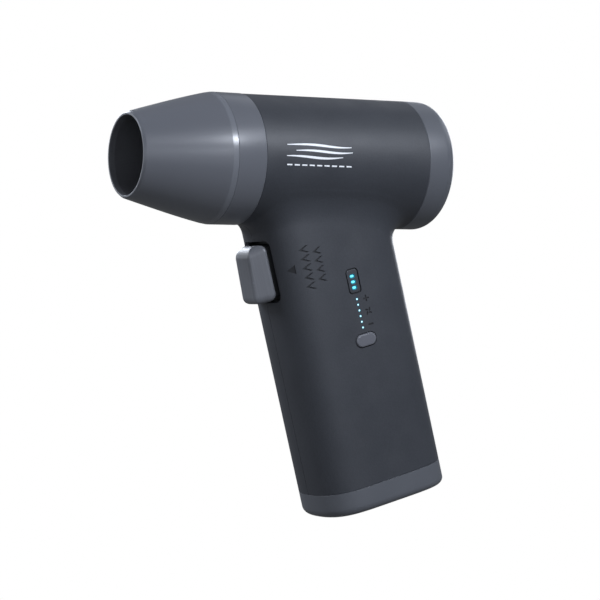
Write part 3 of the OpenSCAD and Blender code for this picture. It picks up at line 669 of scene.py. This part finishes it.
def half_shell(side):
    """One housing half as a closed shell: outside, chamfered rim, inside. side -1 is the panel side."""
    V = HV.copy()
    ch, gap = 0.16, 0.02
    bm = bmesh.new()
    vs = [bm.verts.new(v) for v in V]
    for f in HQ:
        bm.faces.new([vs[i] for i in f])
    bm.verts.ensure_lookup_table()

    def zb(v):
        return (v[0] - BX) * SA + (v[2] - BZ) * CA

    def cut(co, no, keep=None):
        fs = [f for f in bm.faces if keep is None or keep(f)]
        geom = set(fs)
        for f in fs:
            geom.update(f.edges)
            geom.update(f.verts)
        bmesh.ops.bisect_plane(bm, geom=list(geom), plane_co=co, plane_no=no, clear_outer=True, dist=1e-5)
    n_f = dirR((-1, 0, 0))
    n_r = dirR((1, 0, 0))
    cf = B2R(np.array([HF + ch, 0, 0]))
    cr = B2R(np.array([HR - ch, 0, 0]))
    cut(cf, n_f, lambda f: zb(f.calc_center_median()) > -30)
    cut(cr, n_r, lambda f: zb(f.calc_center_median()) > -31)
    cut((0, 0, BASE_H + ch), (0, 0, -1))
    cut((0, -(ch + gap), 0), (0, 1, 0))
    loose = [v for v in bm.verts if not v.link_faces]
    bmesh.ops.delete(bm, geom=loose, context="VERTS")
    bmesh.ops.remove_doubles(bm, verts=bm.verts, dist=1e-4)
    bm.verts.ensure_lookup_table()
    bm.verts.index_update()
    P = np.array([v.co[:] for v in bm.verts])
    faces = [[v.index for v in f.verts] for f in bm.faces]
    bedges = [(e.verts[0].index, e.verts[1].index) for e in bm.edges if len(e.link_faces) == 1]
    orient = {}
    for f in bm.faces:
        ids = [v.index for v in f.verts]
        for a, b in zip(ids, ids[1:] + ids[:1]):
            orient[(a, b)] = True
    bm.free()
    G = gradient(P)
    G /= np.linalg.norm(G, axis=1)[:, None]
    bset = sorted({i for e in bedges for i in e})
    pos_ = {v: k for k, v in enumerate(bset)}
    B = np.array(bset)
    move = np.zeros((len(B), 3))
    XB = (P[B, 0] - BX) * CA - (P[B, 2] - BZ) * SA
    for on, d in ((np.abs(P[B, 1] + ch + gap) < 1e-3, np.array([0, 1, 0])),
                  (np.abs(XB - HF - ch) < 1e-3, n_f), (np.abs(XB - HR + ch) < 1e-3, n_r),
                  (np.abs(P[B, 2] - BASE_H - ch) < 1e-3, np.array([0, 0, -1]))):
        move[on] += d * ch
    L1 = P[B] + move - G[B] * ch
    inner = P - G * WALL
    inner[B] = P[B] + move - G[B] * WALL
    nP, nB = len(P), len(B)
    allv = np.vstack([P, L1, inner])
    F = [tuple(f) for f in faces]
    F += [tuple(nP + nB + i for i in reversed(f)) for f in faces]
    for a, b in bedges:
        if (a, b) not in orient:
            a, b = b, a
        a1, b1 = nP + pos_[a], nP + pos_[b]
        F.append((b, a, a1, b1))
        F.append((b1, a1, nP + nB + a, nP + nB + b))
    if side > 0:
        allv = allv * np.array([1, -1, 1])
        F = [tuple(reversed(f)) for f in F]
    return allv, F


tz0, tz1 = 90.8, 114.4
tmid = (tz0 + tz1) / 2
BOSS = [(-21.6, 28), (21.6, 28), (-21.6, 74), (21.6, 74), (21.6, 101)]
tb = B2R(np.array([18.0, 0, -21.2]))
BOSS6 = BOSS + [(tb[0], tb[2])]


def surf_y(x, z):
    """Y of the panel-side surface over (x, z)."""
    x, z = np.asarray(x, float), np.asarray(z, float)
    a, b = np.full(x.shape, -28.0), np.full(x.shape, -6.0)
    for _ in range(40):
        c = (a + b) / 2
        neg = field(np.stack([x, c, z], -1)) < 0
        b = np.where(neg, c, b)
        a = np.where(neg, a, c)
    return (a + b) / 2


def dense_outline(pts, step=0.25):
    P = np.asarray(pts, float)
    o = []
    for i in range(len(P)):
        a, b = P[i], P[(i + 1) % len(P)]
        k = max(1, int(np.linalg.norm(b - a) / step))
        o += [a + (b - a) * j / k for j in range(k)]
    return np.array(o)


def marks():
    """Debossed marks on the panel side: arrow, two columns of chevrons, plus, fan, minus."""
    o = []

    def put(pts, depth=0.3, dense=True):
        P = dense_outline(pts) if dense else np.asarray(pts, float)
        ys = surf_y(P[:, 0], P[:, 1])
        a = np.stack([P[:, 0], ys - 1.2, P[:, 1]], -1)
        b = np.stack([P[:, 0], ys + depth, P[:, 1]], -1)
        o.append(loft([a, b]))
    put([(-25.4, 102.0), (-22.6, 100.2), (-22.6, 103.8)], 0.35)

    def chevron(cx, cz, a, h, w):
        return [(cx - a, cz), (cx + a - w, cz + h), (cx + a + w * 0.4, cz + h), (cx - a + w * 1.6, cz), (cx + a + w * 0.4, cz - h), (cx + a - w, cz - h)]
    for k in range(5):
        put(chevron(-18.4, 94.2 + k * 3.7, 1.95, 1.4, 0.95), 0.4)
    for k in range(4):
        put(chevron(-13.1, 96.1 + k * 3.7, 1.85, 1.35, 0.92), 0.4)

    def plus(cx, cz, a, w):
        return [(cx - a, cz - w), (cx - w, cz - w), (cx - w, cz - a), (cx + w, cz - a), (cx + w, cz - w), (cx + a, cz - w),
                (cx + a, cz + w), (cx + w, cz + w), (cx + w, cz + a), (cx - w, cz + a), (cx - w, cz + w), (cx - a, cz + w)]
    put(plus(4.6, 83.6, 1.3, 0.34), 0.3)
    put(rrect(2.5, 0.72, 0.25, 3) + np.array([4.4, 73.0]), 0.3)
    for k in range(4):
        a = math.radians(45 + 90 * k)
        cx, cz = 4.5 + 0.98 * math.cos(a), 78.3 + 0.98 * math.sin(a)
        t = np.arange(20) * 2 * math.pi / 20
        e1, e2 = 0.78 * np.cos(t), 0.36 * np.sin(t)
        w = a + 0.5
        put(np.stack([cx + e1 * math.cos(w) - e2 * math.sin(w), cz + e1 * math.sin(w) + e2 * math.cos(w)], -1), 0.3, dense=False)
    return o


for nm, sd_ in (("left_housing", -1), ("right_housing", 1)):
    V_, F_ = half_shell(sd_)
    o = make(nm + "_shell", V_, F_, ["housing"], link=False)
    tubes = [prism_y(circle(x, z, 2.65, 40), 0.03 * sd_, sd_ * (15.4 if z < 110 else 12.0)) for x, z in BOSS6]
    boolean(o, tubes, "UNION")
    cuts = []
    if sd_ < 0:
        cuts += [prism_y(circle(x, z, 1.2, 24), -8.0, 1.0) for x, z in BOSS6]
        cuts.append(prism_y(rrect(10.1, 5.8, 2.89, 12) + np.array([0.7, 67.4]), -25, -13))
        cuts.append(prism_y(rrect(5.9, 10.3, 1.5, 8) + np.array([0.6, 91.6]), -25, -13))
        cuts += [prism_y(circle(0.5, 84.2 - i * PITCH, 0.62, 24), -25, -13) for i in range(6)]
    else:
        cuts += [prism_y(circle(x, z, 2.05, 40), 7.5, 30) for x, z in BOSS6]
        cuts += [prism_y(circle(x, z, 1.35, 24), -1.0, 8.2) for x, z in BOSS6]
    op = rrect(tz1 - tz0 + 1.0, 17.7, 2.4, 6) + np.array([tmid, 0])
    cuts.append(prism_x(op, -40, -23))
    boolean(o, cuts, "DIFFERENCE")
    dish = []
    for x_, w_, h_, r_ in ((-40.0, 23.8, 1.7, 4.6), (-28.9, 23.0, 1.6, 4.4), (-28.2, 21.2, 1.5, 3.8), (-27.7, 19.4, 1.3, 3.2), (-27.4, 17.9, 1.1, 2.6)):
        R_ = rrect(tz1 - tz0 + h_, w_, r_, 8) + np.array([tmid, 0])
        dish.append(np.stack([np.full(len(R_), x_), R_[:, 1], R_[:, 0]], -1))
    boolean(o, [loft(dish)], "DIFFERENCE", "housing")
    if sd_ < 0:
        boolean(o, marks(), "DIFFERENCE", "mark")
    finish_mesh(o.data, 30)
    settle(o, "body", [nm])

# ------------------------------------------------------------------ collar, nozzle, rear cap
BR = 26.0
turned("front_collar_ring", fillet([
    (SEAM, 23.6, 0), (SEAM, BR + 0.02, 0.03), (SEAM + 0.1, BR + 0.12, 0.08), (HF - 0.2, BR + 0.12, 0.2), (HF, BR - 0.06, 0.1),
    (HF, 23.7, 0), (-27.2, 23.7, 0), (-27.2, 24.6, 0.2), (-25.8, 24.6, 0.2), (-25.8, 23.7, 0), (-24, 23.7, 0.2), (-24, 21.5, 0.2), (-33, 21.5, 0.2), (-33, 23.6, 0.2)], k=4),
    "satin", stands_for=["front_collar"])
CE = SEAM - 2.3
cone = []
for k in range(17):
    u = k / 16
    cone.append((TIP + 0.95 + (CE - TIP - 0.95) * u, 17.0 + (BR - 0.28 - 17.0) * u + 0.30 * 4 * u * (1 - u) * (0.45 + 0.75 * u), 0))
nozzle_pts = fillet([
    (TIP, 15.62, 0.12), (TIP, 16.3, 0.2), cone[0][:2] + (0.5,)] + cone[1:-1] + [(CE, BR - 0.28, 0.25), (SEAM - 0.12, BR + 0.08, 0.12), (SEAM - 0.03, BR - 0.0, 0.05), (SEAM - 0.03, 23.52, 0),
    (-38.5, 23.52, 0), (-38.5, 22.6, 0), (-36.5, 22.6, 0), (-36.5, 23.52, 0), (-33.9, 23.45, 0.2), (-33.9, 21.6, 0.2),
    (SEAM, 21.6, 3), (SEAM - 3, 22.4, 3), (TIP + 10, 17.1, 6), (TIP + 2.5, 15.5, 2), (TIP + 0.3, 15.5, 0.2)], k=6)
# nozzle slots: 0 outer satin; 1 the bore, darker as painted shade; 2 the rear bevel band, lighter as painted highlight
turned("nozzle_cone", nozzle_pts, ["satin", "satin_bore_painted_shade", "satin_bevel_painted_highlight"], seg=224, body="nozzle_body", stands_for=["nozzle"],
       slot_of=lambda c, i: 1 if (c[1] < 15.56 or (c[0] < SEAM and c[0] > TIP + 0.4 and c[1] < 15.9 + (c[0] - TIP - 2.5) * 0.24)) else (2 if c[0] > CE - 0.1 and c[1] > 25.6 else 0))
turned("rear_cap_shell", fillet([
    (HR, 23.72, 0), (HR, 26.36, 0.1), (HR + 0.18, 26.52, 0.15)] + arc(CAPR - 5.9, 20.6, 5.9, 90, 3, 16) + [
    (CAPR, 18.75, 0.2), (CAPR - 0.4, 18.2, 0.2), (56.2, 18.2, 0), (56.2, 21.2, 0), (40.5, 21.2, 0.2), (40.5, 23.5, 0.2), (40.8, 23.72, 0)], k=4),
    "satin_cap", seg=224, body="rear_cap_body", stands_for=["rear_cap"])


# ------------------------------------------------------------------ base cap
def ring_at(off, z, n=300):
    P = resample(oval(GA - off, GB - off, 1200), n)
    return np.stack([P[:, 0], P[:, 1], np.full(n, z)], -1)


P0 = resample(oval(GA, GB, 1200), 300)
tg_ = np.roll(P0, -1, 0) - np.roll(P0, 1, 0)
nm_ = np.stack([tg_[:, 1], -tg_[:, 0]], -1) / np.linalg.norm(tg_, axis=1)[:, None]
rb_ = (3.15 - 0.6 * P0[:, 0] / GA)[:, None]
rings = []
for a in np.linspace(0, 90, 14):
    a = math.radians(a)
    rings.append(np.hstack([P0 - nm_ * rb_ * (1 - math.sin(a)), rb_ * (1 - math.cos(a))]))
rings += [ring_at(0.0, 6.0), ring_at(0.0, BASE_H - 0.1), ring_at(0.03, BASE_H - 0.05), ring_at(0.1, BASE_H - 0.03)]
rings += [ring_at(2.5, BASE_H - 0.03), ring_at(2.5, 13.3), ring_at(3.8, 13.3), ring_at(3.8, 2.3)]
V_, F_ = loft(rings)
bc = make("base_cap_shell", V_, F_, ["base"], link=False)
cuts = []
for s in (-1, 1):
    c = circle(0, s * 10, 2.5, 40)
    a = np.stack([c[:, 0], c[:, 1], np.full(40, -1.0)], -1)
    b = np.stack([c[:, 0], c[:, 1], np.full(40, 1.6)], -1)
    cuts.append(loft([a, b]))
port = rrect(9.6, 3.9, 1.9, 10) + np.array([0, 5.03])
P = np.stack([port[:, 1], port[:, 0]], -1)
cuts.append(prism_x(P, 24.0, 36.0))
boolean(bc, cuts)
finish_mesh(bc.data, 30)
settle(bc, "body", ["base_cap"])


# ------------------------------------------------------------------ trigger, button, window, lights
# the trigger: rounded head, stem and flange in one closed mesh
def rmax(ds, r):
    acc = 0
    top = ds[0]
    for d in ds:
        acc = acc + np.maximum(d + r, 0) ** 2
        top = np.maximum(top, d)
    return np.where(top < -r, top, np.sqrt(acc) - r)


def head_field(P):
    x, y, z = P[..., 0], np.abs(P[..., 1]), P[..., 2]
    d1 = -(x + 36.05 + 0.055 * (112 - z)) * 0.9985
    d2 = (x + 29.7) * -0.363 + (y - 8.15) * 0.932
    d3 = x + 28.5
    g = rmax([d1, d2], 0.9)
    g = rmax([g, d3], 1.6)
    return rmax([g, (z - tz1 - (x + 29.2) * 0.23) * 0.9745, tz0 - z], 3.3)


def head_grad(P, e=0.03):
    return np.stack([(head_field(P + d) - head_field(P - d)) / (2 * e) for d in (np.array([e, 0, 0]), np.array([0, e, 0]), np.array([0, 0, e]))], -1)


V_, F_ = surface_nets((-38.2, -9.4, tz0 - 0.8), (-27.6, 9.4, tz1 + 0.8), 0.36, head_field, head_grad)
tr = make("trigger_block", V_, F_, ["trigger", "black"], link=False)
# stem and flange in black plastic; their black is also painted shade for the deep trigger opening
boolean(tr, [prism_x(rrect(tz1 - tz0 - 2.4, 15.2, 1.5, 5) + np.array([tmid, 0]), -30.5, -22.85)], "UNION", "black")
boolean(tr, [prism_x(rrect(tz1 - tz0 + 2.8, 20.6, 1.2, 4) + np.array([tmid, 0]), -24.3, -22.8)], "UNION", "black")
boolean(tr, [prism_x(circle(108, 0, 4.2, 40), -33, -20)], "DIFFERENCE", "black")
finish_mesh(tr.data, 38)
settle(tr, "trigger_body", ["trigger"])

# return spring: six coils, its front end in the trigger's bore
rings = []
for k in range(181):
    u = k / 180
    a = 12 * math.pi * u
    rad = np.array([0.0, math.cos(a), math.sin(a)])
    c = np.array([-32.6 + 13.4 * u, 0, 108]) + 3.05 * rad
    tg = np.array([13.4, -3.05 * 12 * math.pi * math.sin(a), 3.05 * 12 * math.pi * math.cos(a)])
    tg /= np.linalg.norm(tg)
    bn = np.cross(tg, rad)
    w_ = 0.35 * min(1.0, 0.35 + 12 * min(u, 1 - u) * 3)
    rings.append(np.array([c + w_ * (math.cos(t) * rad + math.sin(t) * bn) for t in np.arange(12) * math.pi / 6]))
sp_ = make("return_spring", *loft(rings), "steel", body="trigger_body", stands_for=["trigger_spring"], angle=50)
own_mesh(sp_)


def pillow(cx, cz, w, h, r, y_out, y_in, edge, n_in=6):
    """Rounded push-piece facing -Y."""
    rg = []
    rr = []
    base = rrect(w, h, r, 14)
    rr.append((0.0, y_in))
    rr.append((0.0, y_out + edge))
    for k in range(1, 7):
        a = math.radians(90 * k / 6)
        rr.append((edge * (1 - math.cos(a)), y_out + edge * (1 - math.sin(a))))
    for off, y in rr:
        P_ = rrect(w - 2 * off, h - 2 * off, max(r - off, 0.02), 14)
        rg.append(np.stack([P_[:, 0] + cx, np.full(len(P_), y), P_[:, 1] + cz], -1))
    w0, h0, r0 = w - 2 * edge, h - 2 * edge, max(r - edge, 0.02)
    for k in range(1, n_in + 1):
        f = 1 - k / (n_in + 0.5)
        P_ = rrect(w0, h0, r0, 14) * f
        rg.append(np.stack([P_[:, 0] + cx, np.full(len(P_), y_out), P_[:, 1] + cz], -1))
    return loft(rg)


V_, F_ = joined([pillow(0.7, 67.4, 9.5, 5.2, 2.59, -20.1, -16.75, 0.7), pillow(0.7, 67.4, 11.8, 7.4, 3.69, -16.75, -16.1, 0.1)])
make("speed_button_cap", V_, F_, "button", body="button_body", stands_for=["speed_button"], angle=50)

# window: flush plate inside a dark groove
V_, F_ = pillow(0.6, 91.6, 4.9, 9.3, 1.1, -19.46, -17.4, 0.15)
lens = make("indicator_window", V_, F_, "housing", link=False)
# the pockets cut round the bars take the painted teal glow of the bars' light
boolean(lens, [prism_y(rrect(2.5, 1.75, 0.75, 6) + np.array([0.5, 93.6 - i * PITCH]), -21, -19.0) for i in range(3)], "DIFFERENCE", "halo")
finish_mesh(lens.data, 35)
settle(lens, "body", ["indicator_lens"])
groove = make("window_gasket", *prism_y(rrect(5.8, 10.2, 1.45, 8) + np.array([0.6, 91.6]), -18.9, -17.3), "mark")
parts = [pillow(0.5, 93.6 - i * PITCH, 1.55, 0.95, 0.45, -19.4, -18.7, 0.2) for i in range(3)]
make("bar_lights", *joined(parts), "bar", stands_for=["light_guide"], angle=50)
parts = [pillow(0.5, 84.2 - i * PITCH, 0.66, 0.66, 0.325, -19.50, -18.7, 0.1, n_in=2) for i in range(6)]
make("dot_lights", *joined(parts), "dot", angle=50)
# discs behind the dots carry the painted teal glow of the dots' light
parts = [pillow(0.5, 84.2 - i * PITCH, 1.2, 1.2, 0.59, -19.38, -18.9, 0.05, n_in=2) for i in range(6)]
make("dot_painted_glow", *joined(parts), "halo", angle=50)


# ------------------------------------------------------------------ generic airflow print on the barrel's side
def ribbon(path, widths):
    """Thin closed strip on the barrel, path of (x, z) in the barrel frame seen from the panel side."""
    P_ = np.asarray(path, float)
    t = np.gradient(P_, axis=0)
    t /= np.linalg.norm(t, axis=1)[:, None]
    n_ = np.stack([-t[:, 1], t[:, 0]], -1)
    w_ = np.asarray(widths)[:, None]
    A, B_ = P_ + n_ * w_ / 2, P_ - n_ * w_ / 2
    rg = []
    for a, b in zip(A, B_):
        sec = []
        for (xz, h_) in ((a, 0.0), (b, 0.0), (b, 0.045), (a, 0.045)):
            R_ = barrel_r(xz[0]) - 0.02 + h_
            th = xz[1] / 26.2
            sec.append((xz[0], -R_ * math.cos(th), R_ * math.sin(th)))
        rg.append(B2R(np.array(sec)))
    return loft(rg)


def wave(x0, x1, z0, amp, w0, w1, ph=0.0, n=40, curl=0.0):
    u = np.linspace(0, 1, n)
    x = x0 + (x1 - x0) * u
    z = z0 + amp * np.sin(2 * math.pi * (u * 0.9 + ph)) * (0.35 + 0.65 * u)
    return ribbon(np.stack([x, z], -1), w0 + (w1 - w0) * np.sin(math.pi * np.clip(u, 0.02, 0.98)))


parts = [wave(-20.4, 8.6, 4.6, 0.55, 0.25, 0.95), wave(-16.5, 9.0, 2.3, 0.5, 0.25, 0.95, 0.08), wave(-20.8, 4.5, 0.0, 0.5, 0.25, 0.95, 0.16)]
for k in range(9):
    x0 = -20.6 + k * 3.35
    parts.append(ribbon(np.stack([np.linspace(x0, x0 + 2.3, 6), np.full(6, -3.3)], -1), np.full(6, 0.55)))
make("airflow_print", *joined(parts), "white", angle=60)

# ------------------------------------------------------------------ carried-over CAD nodes
use = {
    "housing_screws": "blacksteel", "base_screws": "blacksteel", "nozzle_seal": "rubber", "intake_grille": "black", "intake_filter": "mesh",
    "filter_clip": "holder", "motor_duct": "alu", "motor_end_cap": "alu", "tail_cone": "black", "inlet_ring": "black", "outlet_duct": "black",
    "front_damper": "rubber", "rear_damper": "rubber", "stator_core": "blacksteel", "stator_windings": "copper", "front_bearing": "steel",
    "rear_bearing": "steel", "motor_board": "pcb", "motor_shaft": "steel", "rotor_magnet": "magnet", "impeller": "fan", "spinner": "fan",
    "battery_cell_front": "cell", "battery_cell_rear": "cell", "battery_holder_bottom": "holder", "battery_holder_top": "holder",
    "nickel_tabs": "nickel", "battery_board": "pcb", "battery_foam": "foam", "smoothing_capacitor": "can", "control_board": "pcb",
    "board_screws": "steel", "controller_chip": "chip", "mosfets": "chip", "tact_switch": "chip", "indicator_leds": "led",
    "trigger_guide": "holder", "trigger_switch": "black", "usb_board": "pcb", "usb_socket": "steel",
    "motor_leads": "red", "battery_leads": "red", "switch_leads": "wire", "usb_leads": "wire",
}
for n_, key in use.items():
    o = nodes[n_]
    o.data.materials.clear()
    o.data.materials.append(M[key])
    for p_ in o.data.polygons:
        p_.material_index = 0
    try:
        o.data.set_sharp_from_angle(angle=math.radians(35))
    except Exception:
        pass
    for p_ in o.data.polygons:
        p_.use_smooth = True
